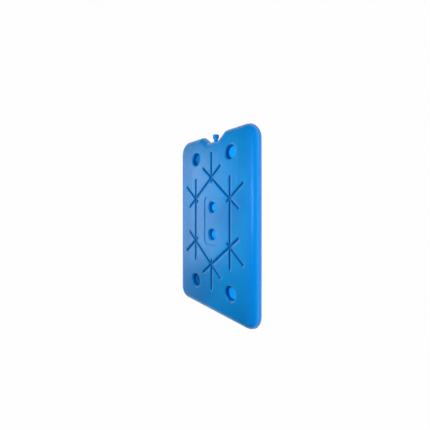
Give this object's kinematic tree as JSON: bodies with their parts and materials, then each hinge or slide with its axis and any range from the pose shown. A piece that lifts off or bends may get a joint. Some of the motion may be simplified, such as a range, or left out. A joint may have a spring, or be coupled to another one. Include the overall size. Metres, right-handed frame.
{
  "type": "reusable ice pack",
  "caption": "Slim flat freezer board in blue plastic with a rounded rim, snowflake grooves, round recesses, and a plugged filler neck in a notch at one end.",
  "frame": {"origin": "centre of the board's resting back face", "axes": "+X along the width, to the right with the neck end up; +Y along the height, towards the neck end; +Z through the thickness, out of the face that is seen"},
  "size_m": [0.1606, 0.2556, 0.0172],
  "materials": {
    "pack_body": "satin blue polyethylene, slightly cloudy",
    "filler_plug": "satin blue polyethylene"
  },
  "bodies": {
    "root": {"pack_body": "pack_body", "filler_plug": "filler_plug"}
  },
  "joints": []
}
